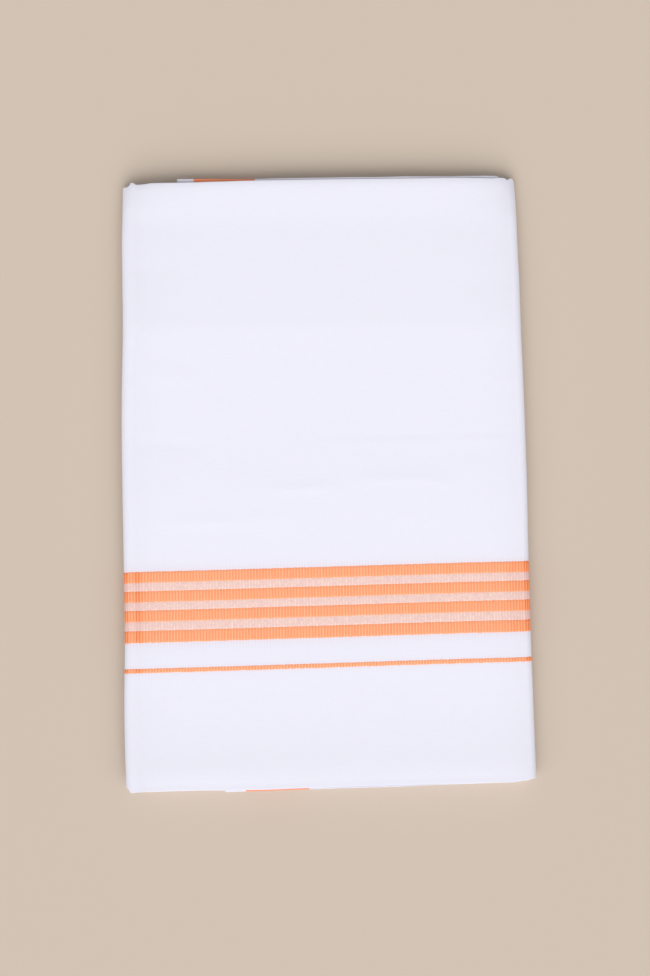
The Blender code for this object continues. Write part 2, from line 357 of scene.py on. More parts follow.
def turn(extreme, reach, start, end, steps):
    """A blunt half turn between two levels, reach metres long, its middle line at extreme."""
    side = math.copysign(1, extreme)
    angles = np.linspace(0, math.pi, steps + 1)
    out = np.sin(angles).clip(0) ** (2 / SIDE_BLUNTNESS)
    fall = np.sign(np.cos(angles)) * np.abs(np.cos(angles)) ** (2 / SIDE_BLUNTNESS)
    first, last = level_height(start), level_height(end)
    x = extreme - side * reach * (1 - out)
    return np.stack([x, (first + last) / 2 + fall * (first - last) / 2], axis=1)


def end_fold(extreme, start, end, steps):
    """The tight round fold at a panel's left end, between two levels."""
    angles = np.linspace(0, math.pi, steps + 1)
    first, last = level_height(start), level_height(end)
    x = extreme + abs(last - first) / 2 * (1 - np.sin(angles))
    return np.stack([x, (first + last) / 2 + np.cos(angles) * (first - last) / 2], axis=1)


def side_fold(side, layer, start, end, steps):
    """The turn of one of the bundle's four strips round a side of the packet."""
    inset = STRIP_WALL / 2 + layer * LEVEL_PITCH
    return turn(side * (PACKET_WIDTH / 2 - inset), SIDE_REACH - inset, start, end, steps)


# This share of the front's rings is spaced evenly, and the rest crowds to the sides.
FRONT_LEG = 2
EVEN_RINGS = 0.2


def wrapping_route():
    """The wrapping stretch's middle line: rows of place, X and Z."""
    hidden_end = -PACKET_WIDTH / 2 + HIDDEN_END_INSET
    left = side_fold(-1, 0, 4, 15, 24)
    right = side_fold(1, 0, 15, 0, 26)
    back = end_fold(-PACKET_WIDTH / 2 + BACK_END_INSET + STRIP_WALL / 2, 0, 3, 12)
    legs = (
        (np.array([[hidden_end, level_height(4)], left[0]]), 3),
        (left, 24),
        (np.array([left[-1], right[0]]), 146),
        (right, 26),
        (np.array([right[-1], back[0]]), 88),
        (back, 12),
        (np.array([back[-1], [hidden_end, level_height(3)]]), 3),
    )
    rows = []
    for leg, (points, count) in enumerate(legs):
        last = leg == len(legs) - 1
        shares = np.linspace(0, 1, count + 1)[: None if last else -1]
        if leg == FRONT_LEG:
            crowded = 0.5 - 0.5 * np.cos(shares * math.pi)
            shares = EVEN_RINGS * shares + (1 - EVEN_RINGS) * crowded
        knots = np.linspace(0, 1, len(points))
        x = np.interp(shares, knots, points[:, 0])
        z = np.interp(shares, knots, points[:, 1])
        rows.append(np.stack([leg + shares, x, z], axis=1))
    return np.concatenate(rows)


def corner_vertices(mesh):
    """The vertex that each corner of each face stands on."""
    found = np.zeros(len(mesh.loops), np.int32)
    mesh.loops.foreach_get("vertex_index", found)
    return found


def add_map(mesh, name, spots):
    """A map on the mesh, from one spot for each corner of each face."""
    layer = mesh.uv_layers.new(name=name)
    layer.data.foreach_set("uv", spots.astype(np.float32).ravel())


# How the wall is unrolled on its baking map, which is one unit each way.  The inner side,
# which is never seen, gets less room, and the two closed ends stand beside the wall.
MAP_MARGIN = 0.004
MAP_LENGTH = 0.98
MAP_HEIGHT = 0.99
INNER_SCALE = 0.35
ENDS_FROM = 0.988
END_WIDTH = 0.004
END_PITCH = 0.006


def add_baking_map(mesh, spots, ran, inner, end_ring):
    """Unroll a strip wall: along the strip to the right, and round the wall upwards.

    spots are its rings' points, inner is the slice of a ring on the inner side, and end_ring
    holds the shares across and up of a ring's points.
    """
    stations, count = spots.shape[:2]
    steps = np.linalg.norm(np.diff(spots, axis=1, append=spots[:, :1]), axis=2).mean(0)
    steps[inner] *= INNER_SCALE
    reached = np.concatenate([[0], np.cumsum(steps)])
    reached = MAP_MARGIN + MAP_HEIGHT * reached / reached[-1]
    start = MAP_MARGIN + MAP_LENGTH * ran / ran[-1]
    u = np.stack([start[:-1], start[1:], start[1:], start[:-1]], axis=1)
    v = np.stack([reached[:-1], reached[:-1], reached[1:], reached[1:]], axis=1)
    wall = np.stack(
        [np.repeat(u[:, None, :], count, axis=1).ravel(), np.tile(v.ravel(), stations - 1)],
        axis=1,
    )
    corners = corner_vertices(mesh)[len(wall) :]
    across, up = end_ring
    ends_u = ENDS_FROM + END_WIDTH * up[corners % count] + END_PITCH * (corners >= count)
    ends_v = MAP_MARGIN + MAP_HEIGHT * across[corners % count]
    add_map(mesh, "OFBake", np.concatenate([wall, np.stack([ends_u, ends_v], axis=1)]))


def in_scene(name, data):
    """An object that stands for this data in the scene."""
    shown = bpy.data.objects.new(name, data)
    scene.collection.objects.link(shown)
    return shown


def outward_from(line):
    """The directions straight out of the cloth's outer side, along a line of X and Z."""
    along = np.gradient(line, axis=0)
    along /= np.linalg.norm(along, axis=1)[:, None]
    return np.stack([-along[:, 1], along[:, 0]], axis=1)


def strip_wall(name, line, low, high, rows, nose_steps, inner_step=1, drift=0.0, bake=False):
    """A closed cloth wall along a line of X and Z, folded at its low and high edges.

    rows are shares of the way across, one for each row of its outer side.  Its inner side
    has every inner_step of them.  Its map, cloth, holds metres along the strip and across
    it, less drift.
    """
    radius = STRIP_WALL / 2
    outward = outward_from(line)
    angles = np.radians(np.linspace(90, -90, nose_steps + 2)[1:-1])
    nose_out = np.cos(angles) ** (2 / FOLD_BLUNTNESS)
    nose_up = np.sign(np.sin(angles)) * np.abs(np.sin(angles)) ** (2 / FOLD_BLUNTNESS)
    outer = [(low + radius + (high - low - 2 * radius) * share, radius) for share in rows]
    inner = [(y, -radius) for y, _ in outer[::inner_step]]
    upper = [(high - radius * (1 - out), radius * up) for out, up in zip(nose_out, nose_up)]
    lower = [(low + radius * (1 - out), -radius * up) for out, up in zip(nose_out, nose_up)]
    ring = outer + upper + inner[::-1] + lower
    y = np.stack([row[0] for row in ring], axis=1)
    off = np.array([row[1] for row in ring])
    spots = placed(line[:, :1] + outward[:, :1] * off, y, line[:, 1:] + outward[:, 1:] * off)
    stations, count = y.shape
    index = np.arange(stations * count).reshape(stations, count)
    following = np.roll(index, -1, axis=1)
    quads = np.stack([index[:-1], index[1:], following[1:], following[:-1]], axis=-1)
    faces = quads.reshape(-1, 4).tolist()

    # The two ends are closed in panes between the inner rows and the outer ones.
    inner_from = len(outer) + nose_steps
    inner_to = inner_from + len(inner) - 1
    panes = [
        [*range(k * inner_step, (k + 1) * inner_step + 1), inner_to - k - 1, inner_to - k]
        for k in range(len(inner) - 1)
    ]
    panes.append([*range((len(inner) - 1) * inner_step, inner_from + 1)])
    panes.append([*range(inner_to, count), 0])
    for pane in panes:
        faces.append(index[0, pane].tolist())
        faces.append(index[-1, pane[::-1]].tolist())

    mesh = bpy.data.meshes.new(name)
    mesh.from_pydata(spots.reshape(-1, 3).tolist(), [], faces)
    ran = distance_run(line)
    across = y - np.reshape(drift, (-1, 1))
    flat = np.stack([np.repeat(ran, count), across.ravel()], axis=1)
    add_map(mesh, "cloth", flat[corner_vertices(mesh)])
    if bake:
        end_ring = ((y[0] - y.min()) / (y.max() - y.min()), (off / radius + 1) / 2)
        add_baking_map(mesh, spots, ran, slice(inner_from, inner_to), end_ring)
    mesh.shade_smooth()
    return in_scene(name, mesh)


# The rows of the stretch's outer side.  Every eleventh is on its inner side as well.
WRAP_ROWS = 254
WRAP_INNER_STEP = 11

route = wrapping_route()
route_ran = distance_run(route[:, 1:])
border_drift = curved(BORDER_DRIFT, route[:, 0])
wrap = strip_wall(
    "wrapping_stretch",
    route[:, 1:],
    eased(STRIP_EDGES, route[:, 0], 1),
    eased(STRIP_EDGES, route[:, 0], 2),
    np.linspace(0, 1, WRAP_ROWS),
    nose_steps=9,
    inner_step=WRAP_INNER_STEP,
    drift=border_drift,
    bake=True,
)


def strip_distance(place):
    """The distance along the stretch at a place, as numbered in STRIP_EDGES."""
    return float(np.interp(place, route[:, 0], route_ran))


# The plain weave: round yarns that rise and dip by turns.
THREAD_PITCH = 0.0004
YARN_ROUNDNESS = 3.2
YARN_DIP = 0.35
WEAVE_BUMP = 0.6
WEAVE_DEPTH = 0.00004

# Thick places in the yarns, long across the strip's run or along it.  Columns: how many to
# the metre in X, Y and Z, and how strong.
WEFT_AND_WARP_SLUBS = (((150, 1300, 1), 1.0), ((1700, 110, 1), 0.45))
SLUB_HEIGHT = 1.2
SLUB_CONTRAST = 0.05

WHITE = (0.764, 0.759, 0.850)

# The border's colours: the warp over the ribs, a deeper colour between them that is painted
# shade in the grooves, and a deeper one still that is painted shade beside the side folds.
ORANGE_WARP_AND_SHADES = ((0.97, 0.39, 0.20), (0.96, 0.32, 0.140), (0.86, 0.18, 0.040))
PALE_WARP_AND_SHADES = ((0.86, 0.61, 0.55), (0.83, 0.56, 0.50), (0.76, 0.47, 0.44))
BORDER_WARPS_AND_SHADES = {"orange": ORANGE_WARP_AND_SHADES, "pale": PALE_WARP_AND_SHADES, "line": ORANGE_WARP_AND_SHADES}

# The bands' edges stray by FRAY from rib to rib.  The border lies within BORDER_SPAN.
FRAY = 0.0003
BORDER_SPAN = (-0.116, -0.052)

# Loose coloured fibres tint the white beside the four bands and beside the thin line, more
# over the ribs than between them.  Columns: lower edge, upper edge, strength, reach.
TINTED = (0.745, 0.500, 0.530)
TINTS = (
    (BORDER_BANDS[-2][1], BORDER_BANDS[0][0], 0.30, 0.0021),
    (BORDER_BANDS[-1][1], BORDER_BANDS[-1][0], 0.24, 0.0010),
)
TINT_SWING = 0.6

# How much the border's colours are deepened with painted shade beside the two side folds.
# Columns: place on the strip, share.
DEEP_FOLD_SHADE = (
    (1.15, 0.0),
    (1.30, 1.0),
    (1.73, 1.0),
    (1.82, 0.4),
    (1.88, 0.08),
    (1.99, 0.12),
    (2.003, 0.75),
    (2.011, 0.75),
    (2.022, 0.15),
    (2.045, 0.0),
    (2.955, 0.0),
    (2.975, 0.25),
    (3.08, 0.28),
    (3.12, 0.9),
    (3.30, 1.0),
    (3.70, 1.0),
    (3.85, 0.0),
)
DEEP_FOLD_SHADE_TAIL = 0.01

# Painted shade: the colour darkens in a soft band at a little distance from the middle of
# each side fold, where light is lost.
SIDE_FOLD_PLACES = (1.5, 3.5)
FOLD_SHADE = 0.026
FOLD_SHADE_AT = 0.011
FOLD_SHADE_REACH = 0.010


def feed(socket, value):
    """Give a socket a number, a colour or another node's output."""
    if isinstance(value, bpy.types.NodeSocket):
        socket.id_data.links.new(value, socket)
    elif socket.type == "RGBA":
        socket.default_value = (*value, 1)
    else:
        socket.default_value = value


def node(tree, kind, inputs=None, **settings):
    """A new node with these settings, and a value or a source for each named input."""
    made = tree.nodes.new(kind)
    for key, value in settings.items():
        setattr(made, key, value)
    for key, value in (inputs or {}).items():
        feed(made.inputs[key], value)
    return made


def maths(operation, *values):
    """What a Math node makes of numbers and other nodes' outputs, in those nodes' tree."""
    tree = next(value.id_data for value in values if isinstance(value, bpy.types.NodeSocket))
    made = node(tree, "ShaderNodeMath", dict(enumerate(values)), operation=operation)
    return made.outputs[0]


def mixed(share, first, second):
    """first where share is 0, second where it is 1; each a colour or a node's output."""
    inputs = {"Factor": share, 6: first, 7: second}
    return node(share.id_data, "ShaderNodeMix", inputs, data_type="RGBA").outputs[2]


def new_group(name, kind, inputs, outputs):
    """A node group with these named sockets: the group, its inputs and its outputs."""
    group = bpy.data.node_groups.new(name, kind)
    for in_out, sockets in (("INPUT", inputs), ("OUTPUT", outputs)):
        for label, value_kind in sockets.items():
            socket_type = "NodeSocket" + value_kind
            group.interface.new_socket(label, in_out=in_out, socket_type=socket_type)
    return group, node(group, "NodeGroupInput").outputs, node(group, "NodeGroupOutput").inputs


def banded(value, stops, last, steps="CONSTANT"):
    """A ramp of colours over value, up to last; stops are rows of value and colour."""
    tree = value.id_data
    first = stops[0][0]
    inputs = {"Value": value, "From Min": first, "From Max": last}
    span = node(tree, "ShaderNodeMapRange", inputs)
    made = node(tree, "ShaderNodeValToRGB", {"Fac": span.outputs["Result"]})
    ramp = made.color_ramp
    ramp.interpolation = steps
    for i, (place, colour) in enumerate(stops):
        at = (place - first) / (last - first)
        element = ramp.elements[0] if i == 0 else ramp.elements.new(at)
        element.position = at
        element.color = (*colour, 1)
    ramp.elements.remove(ramp.elements[-1])
    return made.outputs["Color"]


def cotton_weave_group():
    """Plain weave and slubs: reads the cloth's map, puts out a height and a shade."""
    group, given, result = new_group(
        "cotton_weave",
        "ShaderNodeTree",
        {"Cloth": "Vector", "Thread Pitch": "Float", "Slub Contrast": "Float"},
        {"Height": "Float", "Shade": "Float"},
    )
    split = node(group, "ShaderNodeSeparateXYZ", {0: given["Cloth"]}).outputs
    along = maths("DIVIDE", split["X"], given["Thread Pitch"])
    across = maths("DIVIDE", split["Y"], given["Thread Pitch"])

    def yarns(over, under):
        """Round yarns that repeat over one way, and rise and dip the other way."""
        side = maths("SUBTRACT", maths("FRACT", over), 0.5)
        fall = maths("MULTIPLY", maths("MULTIPLY", side, side), YARN_ROUNDNESS)
        step = maths("ADD", maths("FLOOR", over), under)
        dip = maths("COSINE", maths("MULTIPLY", step, math.pi))
        return maths("MULTIPLY_ADD", dip, YARN_DIP, maths("SUBTRACT", 1.0, fall))

    woven = maths("MAXIMUM", yarns(across, along), yarns(along, across))

    slubs = []
    for stretch, share in WEFT_AND_WARP_SLUBS:
        inputs = {"Vector": given["Cloth"], "Scale": stretch}
        stretched = node(group, "ShaderNodeMapping", inputs)
        inputs = {"Vector": stretched.outputs[0], "Scale": 1, "Detail": 2}
        streak = node(group, "ShaderNodeTexNoise", inputs)
        uneven = maths("SUBTRACT", streak.outputs[0], 0.5)
        slubs.append(maths("MULTIPLY", uneven, share))
    both = maths("ADD", *slubs)
    shade = maths("MULTIPLY_ADD", both, given["Slub Contrast"], 1.0)
    feed(result["Height"], maths("MULTIPLY_ADD", both, SLUB_HEIGHT, woven))
    feed(result["Shade"], shade)
    return group


def side_folds_group():
    """The side folds: the shade painted beside them, and the share of deeper painted shade."""
    group, given, result = new_group(
        "side_folds",
        "ShaderNodeTree",
        {"Along": "Float", "Light Lost": "Float"},
        {"Shade": "Float", "Deep Fold Shade": "Float"},
    )
    away = [
        maths("ABSOLUTE", maths("SUBTRACT", given["Along"], strip_distance(place)))
        for place in SIDE_FOLD_PLACES
    ]
    # Painted shade: a soft dark band in the colour beside each side fold.
    off = maths("SUBTRACT", maths("MINIMUM", *away), FOLD_SHADE_AT)
    off = maths("ABSOLUTE", off)
    fade = maths("EXPONENT", maths("DIVIDE", off, -FOLD_SHADE_REACH))
    lost = maths("MULTIPLY", fade, given["Light Lost"])
    feed(result["Shade"], maths("SUBTRACT", 1.0, lost))
    # The share of deeper painted shade in the border's colours along the strip.
    stops = [(strip_distance(place), (share,) * 3) for place, share in DEEP_FOLD_SHADE]
    deep_fold_shade = banded(given["Along"], stops, stops[-1][0] + DEEP_FOLD_SHADE_TAIL, "LINEAR")
    feed(result["Deep Fold Shade"], deep_fold_shade)
    return group


COTTON_WEAVE = cotton_weave_group()
SIDE_FOLDS = side_folds_group()


def cotton(name, weave_depth=WEAVE_DEPTH):
    """A cotton material with its weave in its bump.

    Returns it and what its colour is made from: the distances along the strip and across
    it, and the weave's shade.
    """
    material = bpy.data.materials.new(name)
    material.use_nodes = True
    tree = material.node_tree
    cloth = node(tree, "ShaderNodeUVMap", uv_map="cloth").outputs[0]
    weave = node(
        tree,
        "ShaderNodeGroup",
        {"Cloth": cloth, "Thread Pitch": THREAD_PITCH, "Slub Contrast": SLUB_CONTRAST},
        node_tree=COTTON_WEAVE,
    )
    bump = node(
        tree,
        "ShaderNodeBump",
        {"Strength": WEAVE_BUMP, "Distance": weave_depth, "Height": weave.outputs["Height"]},
    )
    for socket, value in (
        ("Roughness", 0.88),
        ("Specular IOR Level", 0.25),
        ("Sheen Weight", 0.12),
        ("Sheen Roughness", 0.5),
        ("Normal", bump.outputs[0]),
    ):
        feed(tree.nodes["Principled BSDF"].inputs[socket], value)
    split = node(tree, "ShaderNodeSeparateXYZ", {0: cloth}).outputs
    return material, split["X"], split["Y"], weave.outputs["Shade"]


def dye(colour, shade):
    """Give the cotton that has this shade its colour, lighter or darker by the shade."""
    tree = shade.id_data
    tone = node(tree, "ShaderNodeVectorMath", {0: colour, "Scale": shade}, operation="SCALE")
    feed(tree.nodes["Principled BSDF"].inputs["Base Color"], tone.outputs[0])


def side_folds(along, shade):
    """The shade with the side folds' painted shade worked in, and the deeper shade's share."""
    inputs = {"Along": along, "Light Lost": FOLD_SHADE}
    folds = node(along.id_data, "ShaderNodeGroup", inputs, node_tree=SIDE_FOLDS).outputs
    return maths("MULTIPLY", shade, folds["Shade"]), folds["Deep Fold Shade"]


def border_stops(depth):
    """Colours across the strip for banded: the warp, or its painted groove or fold shade."""
    lower_edges = [lower for _, lower, _ in BORDER_BANDS]
    stops = [(BORDER_SPAN[0], WHITE)]
    for upper, lower, kind in reversed(BORDER_BANDS):
        stops.append((lower, BORDER_WARPS_AND_SHADES[kind][depth]))
        if upper not in lower_edges:
            stops.append((upper, WHITE))
    return stops


def tint_beside(across, lower, upper, strength, reach):
    """A tint that fades out over reach, beside what lies between lower and upper."""
    off = maths("ABSOLUTE", maths("SUBTRACT", across, (lower + upper) / 2))
    outside = maths("SUBTRACT", off, (upper - lower) / 2)
    fade = maths("EXPONENT", maths("DIVIDE", outside, -reach))
    fade = maths("MULTIPLY", fade, maths("GREATER_THAN", outside, 0.0))
    return maths("MULTIPLY", fade, strength)


def striped_cotton():
    """White cotton with the border in its warp, and painted shade in grooves and by folds."""
    material, along, across, shade = cotton("striped_cotton")
    tree = material.node_tree
    shade, deep_fold_shade = side_folds(along, shade)
    rib = maths("FLOOR", maths("DIVIDE", along, RIB_PITCH))
    stray = node(tree, "ShaderNodeTexWhiteNoise", {"W": rib}, noise_dimensions="1D")
    uneven = maths("SUBTRACT", stray.outputs["Value"], 0.5)
    frayed = maths("MULTIPLY_ADD", uneven, FRAY, across)
    # The border's warp over the ribs, then its painted shade between them and by the folds.
    over, between, deep_fold_shaded = (
        banded(frayed, border_stops(depth), BORDER_SPAN[1]) for depth in range(3)
    )
    # Painted shade between the ribs, strongest midway between two of them.
    wave = maths("COSINE", maths("MULTIPLY", along, 2 * math.pi / RIB_PITCH))
    groove_shade_share = maths("POWER", maths("MULTIPLY_ADD", wave, 0.5, 0.5), 2.0)
    woven = mixed(deep_fold_shade, mixed(groove_shade_share, over, between), deep_fold_shaded)
    tint = maths("ADD", *(tint_beside(across, *row) for row in TINTS))
    tint = maths("MULTIPLY", tint, maths("MULTIPLY_ADD", wave, TINT_SWING, 1.0))
    dye(mixed(tint, woven, TINTED), shade)
    return material


wrap.data.materials.append(striped_cotton())
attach(wrap, "root")
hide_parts("outer_ply")

# ----------------------------------------------------------------------------------------
# The border's ribs: thick weft cords under the coloured warp of each band, woven in, so
# that they run across the band and stop where it stops.  They go round with the wrapping
# stretch, and their ends are a little uneven.
# ----------------------------------------------------------------------------------------

# Columns: width, height, and how far a rib may run past its band's edges.
RIB_SIZES = {
    "orange": (0.00118, RIB_HEIGHT, 0.0004),
    "pale": (0.0009, 0.5 * RIB_HEIGHT, 0.0),
    "line": (0.00118, 0.6 * RIB_HEIGHT, 0.0004),
}

# Columns: darker yarn, lighter yarn, the yarn deepened with painted shade beside the side
# folds, and how long a stretch of a rib keeps one colour.
WHOLE_RIB = 1.0
RIB_YARNS_AND_SHADE = {
    "orange": ((0.97, 0.415, 0.226), (1.0, 0.445, 0.244), (0.97, 0.33, 0.135), WHOLE_RIB),
    "pale": ((0.81, 0.560, 0.545), (0.94, 0.70, 0.620), (0.83, 0.56, 0.52), 0.0010),
    "line": ((0.97, 0.450, 0.255), (1.0, 0.480, 0.275), (0.97, 0.33, 0.135), WHOLE_RIB),
}
RIB_WEAVE_DEPTH = 0.00003

# How a rib strays: its width and height in shares, the rest in overruns.  Columns: least,
# most, and what is added to the band's seed.
WIDTH_STRAY = (0.85, 1.12, 1)
OVERRUN_STRAY = (-0.4, 1.6, 2)
HEIGHT_STRAY = (0.8, 1.0, 3)
PLACE_STRAY = (-0.4, 0.4, 4)

# A rib's rings crowd towards its two ends, where it is slimmer and sinks into the cloth.
RIB_SIDES = 6
RIB_STEPS = 5
CROWDING_POWER = 3.0
SLIMMING = 0.9
SLIMMING_POWER = 4.0


def rib_tree():
    """Geometry nodes that lay out one band's ribs flat: X along the strip, Y across it."""
    sizes = ("Pitch", "Start", "Middle", "Length", "Overrun", "Width", "Height")
    tree, given, result = new_group(
        "border_ribs",
        "GeometryNodeTree",
        {
            "Geometry": "Geometry",
            "Count": "Int",
            **dict.fromkeys(sizes, "Float"),
            "Seed": "Int",
            "Material": "Material",
        },
        {"Geometry": "Geometry"},
    )

    def vector(x, y, z):
        return node(tree, "ShaderNodeCombineXYZ", {0: x, 1: y, 2: z}).outputs[0]

    def chance(low, high, shift):
        """A random number for each rib."""
        inputs = {2: low, 3: high, "Seed": maths("ADD", given["Seed"], shift)}
        return node(tree, "FunctionNodeRandomValue", inputs, data_type="FLOAT").outputs[1]

    first = maths("MULTIPLY_ADD", given["Pitch"], 0.5, given["Start"])
    spots = node(
        tree,
        "GeometryNodeMeshLine",
        {
            "Count": given["Count"],
            "Start Location": vector(first, given["Middle"], 0.0),
            "Offset": vector(given["Pitch"], 0.0, 0.0),
        },
    )
    cord = node(
        tree,
        "GeometryNodeMeshCylinder",
        {"Vertices": RIB_SIDES, "Side Segments": RIB_STEPS, "Radius": 0.5, "Depth": 1.0},
    )
    inputs = {"Geometry": cord.outputs["Mesh"], "Rotation": (math.pi / 2, 0, 0)}
    laid = node(tree, "GeometryNodeTransform", inputs)
    position = node(tree, "GeometryNodeInputPosition").outputs[0]
    x, y, z = node(tree, "ShaderNodeSeparateXYZ", {0: position}).outputs
    out = maths("MULTIPLY", maths("ABSOLUTE", y), 2.0)
    left = maths("POWER", maths("SUBTRACT", 1.0, out), CROWDING_POWER)
    reach = maths("MULTIPLY_ADD", left, -0.5, 0.5)
    drawn = maths("MULTIPLY", maths("SIGN", y), reach)
    slim = maths("POWER", out, SLIMMING_POWER)
    slim = maths("MULTIPLY_ADD", slim, -SLIMMING, 1.0)
    slimmed = vector(maths("MULTIPLY", x, slim), drawn, maths("MULTIPLY", z, slim))
    inputs = {"Geometry": laid.outputs[0], "Position": slimmed}
    rib = node(tree, "GeometryNodeSetPosition", inputs)

    thick = maths("MULTIPLY", given["Height"], 2.0)
    scale = vector(
        maths("MULTIPLY", given["Width"], chance(*WIDTH_STRAY)),
        maths("MULTIPLY_ADD", given["Overrun"], chance(*OVERRUN_STRAY), given["Length"]),
        maths("MULTIPLY", thick, chance(*HEIGHT_STRAY)),
    )
    ribs = node(
        tree,
        "GeometryNodeInstanceOnPoints",
        {"Points": spots.outputs[0], "Instance": rib.outputs[0], "Scale": scale},
    )
    stray = maths("MULTIPLY", given["Overrun"], chance(*PLACE_STRAY))
    shifted = node(
        tree,
        "GeometryNodeTranslateInstances",
        {"Instances": ribs.outputs[0], "Translation": vector(0.0, stray, 0.0)},
    )
    real = node(tree, "GeometryNodeRealizeInstances", {0: shifted.outputs[0]})
    inputs = {"Geometry": real.outputs[0], "Material": given["Material"]}
    finish = node(tree, "GeometryNodeSetMaterial", inputs)
    feed(result["Geometry"], finish.outputs[0])
    return tree


def from_nodes(name, tree, values):
    """The plain mesh that a geometry node tree makes with these input values."""
    carrier = in_scene(name, bpy.data.meshes.new(name))
    modifier = carrier.modifiers.new(name, "NODES")
    modifier.node_group = tree
    for item in tree.interface.items_tree:
        if item.in_out == "INPUT" and item.name in values:
            modifier[item.identifier] = values[item.name]
    bpy.context.view_layer.update()
    evaluated = carrier.evaluated_get(bpy.context.evaluated_depsgraph_get())
    mesh = bpy.data.meshes.new_from_object(evaluated)
    carrier.modifiers.clear()
    bpy.data.objects.remove(carrier)
    return mesh


def rib_cotton(name, darker, lighter, deep_fold_shaded, dash):
    """Rib yarn that strays in colour from rib to rib and, every dash metres, along a rib."""
    material, along, across, shade = cotton(name, RIB_WEAVE_DEPTH)
    tree = material.node_tree
    # Painted shade beside the side folds darkens the yarn and deepens its colour.
    shade, deep_fold_shade = side_folds(along, shade)
    rib = maths("FLOOR", maths("DIVIDE", along, RIB_PITCH))
    stretch = maths("FLOOR", maths("DIVIDE", across, dash))
    spot = node(tree, "ShaderNodeCombineXYZ", {"X": rib, "Y": stretch}).outputs[0]
    stray = node(tree, "ShaderNodeTexWhiteNoise", {"Vector": spot}, noise_dimensions="2D")
    yarn = mixed(stray.outputs["Value"], darker, lighter)
    dye(mixed(deep_fold_shade, yarn, deep_fold_shaded), shade)
    return material


def laid_on_wrap(flat):
    """Flat points (along the strip, across it, above it) carried onto the wrapping stretch."""
    line = np.concatenate([route[:, 1:], outward_from(route[:, 1:])], axis=1)
    x, z, out_x, out_z = (np.interp(flat[:, 0], route_ran, column) for column in line.T)
    drift = np.interp(flat[:, 0], route_ran, border_drift)
    above = flat[:, 2] + STRIP_WALL / 2
    return placed(x + out_x * above, flat[:, 1] + drift, z + out_z * above)


first_rib = math.ceil(strip_distance(1) / RIB_PITCH)
rib_count = int(strip_distance(6) / RIB_PITCH) - first_rib
border_ribs = rib_tree()
rib_cottons = {kind: rib_cotton(kind + "_ribs", *yarns) for kind, yarns in RIB_YARNS_AND_SHADE.items()}
rib_spots, rib_faces, rib_face_kinds = [], [], []
first_spot = 0
for number, (upper, lower, kind) in enumerate(BORDER_BANDS):
    width, height, overrun = RIB_SIZES[kind]
    mesh = from_nodes(
        "rib_band",
        border_ribs,
        {
            "Count": rib_count,
            "Pitch": RIB_PITCH,
            "Start": first_rib * RIB_PITCH,
            "Middle": (upper + lower) / 2,
            "Length": upper - lower,
            "Overrun": overrun,
            "Width": width,
            "Height": height,
            "Seed": 11 * number + 5,
            "Material": rib_cottons[kind],
        },
    )
    spots = np.zeros(len(mesh.vertices) * 3)
    mesh.vertices.foreach_get("co", spots)
    rib_spots.append(spots.reshape(-1, 3))
    rib_faces += [[first_spot + k for k in face.vertices] for face in mesh.polygons]
    rib_face_kinds += [list(rib_cottons).index(kind)] * len(mesh.polygons)
    first_spot += len(mesh.vertices)
    bpy.data.meshes.remove(mesh)
rib_spots = np.concatenate(rib_spots)
rib_mesh = bpy.data.meshes.new("border_ribs")
rib_mesh.from_pydata(laid_on_wrap(rib_spots).tolist(), [], rib_faces)
for material in rib_cottons.values():
    rib_mesh.materials.append(material)
rib_mesh.polygons.foreach_set("material_index", rib_face_kinds)
add_map(rib_mesh, "cloth", rib_spots[corner_vertices(rib_mesh)][:, :2])
rib_mesh.shade_smooth()
ribs = in_scene("border_ribs", rib_mesh)
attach(ribs, "root")

# ----------------------------------------------------------------------------------------
# The hidden plies: the rest of the same folded strip, 3.1 m of it, which runs to and fro
# inside the wrapping stretch.  Only its folded edges show, at the packet's two ends.
# ----------------------------------------------------------------------------------------
INNER_TURN = 0.1152
INNER_REACH = 0.0048
MIDDLE_FOLD = -0.080
TUCK_GAP = 0.0002
HIDDEN_STEP = 0.003
HIDDEN_ROWS = (0, 0.03, 0.12, 0.3, 0.5, 0.7, 0.88, 0.97, 1)

# The two cut ends' levels, and how far each runs: from its cut to where it slips back
# between its neighbours.
HEAD_LEVEL = 11
HEAD_RUN = (-0.0875, 0.1125)
TAIL_LEVEL = 10
TAIL_RUN = (-0.0630, 0.1085)

# The hidden edges are uneven, and drawn back at the side folds.  Columns: depth, size of a
# hump, what is added to the seed.
LAYER_EDGE = 0.1822
EDGE_WAVES = ((0.0016, 0.22, 0), (0.0004, 0.05, 5))
EDGE_DRAWN_BACK = 0.0042

# Where a cut end takes the hidden strip's place, the strip stops at CUT_BACK.  The levels
# over the head end stop at UNDER_CURL, so that it can spring up past them.
SAME_LEVEL = 0.4
CUT_BACK = 0.1690
UNDER_CURL = 0.1810
UNDER_CURL_LEVELS = (11.5, 14.5)
UNDER_CURL_RUN = (-0.0925, 0.1150)


def inner_turn(layer, start, end):
    """The turn of one of the four strips where the innermost panel bends back."""
    inset = layer * LEVEL_PITCH
    return turn(INNER_TURN - inset, INNER_REACH - inset, start, end, 8)


def at(x, level):
    """A point of a strip's line, as one row of X and Z."""
    return np.array([[x, level_height(level)]])


def run_of(parts, spacing):
    """One line through the parts' points, with straight runs cut into short steps."""
    corners = np.concatenate(parts)
    rows = [corners[:1]]
    for before, after in zip(corners, corners[1:]):
        count = max(1, round(float(np.linalg.norm(after - before)) / spacing))
        rows.append(before + (after - before) * np.linspace(0, 1, count + 1)[1:, None])
    return np.concatenate(rows)


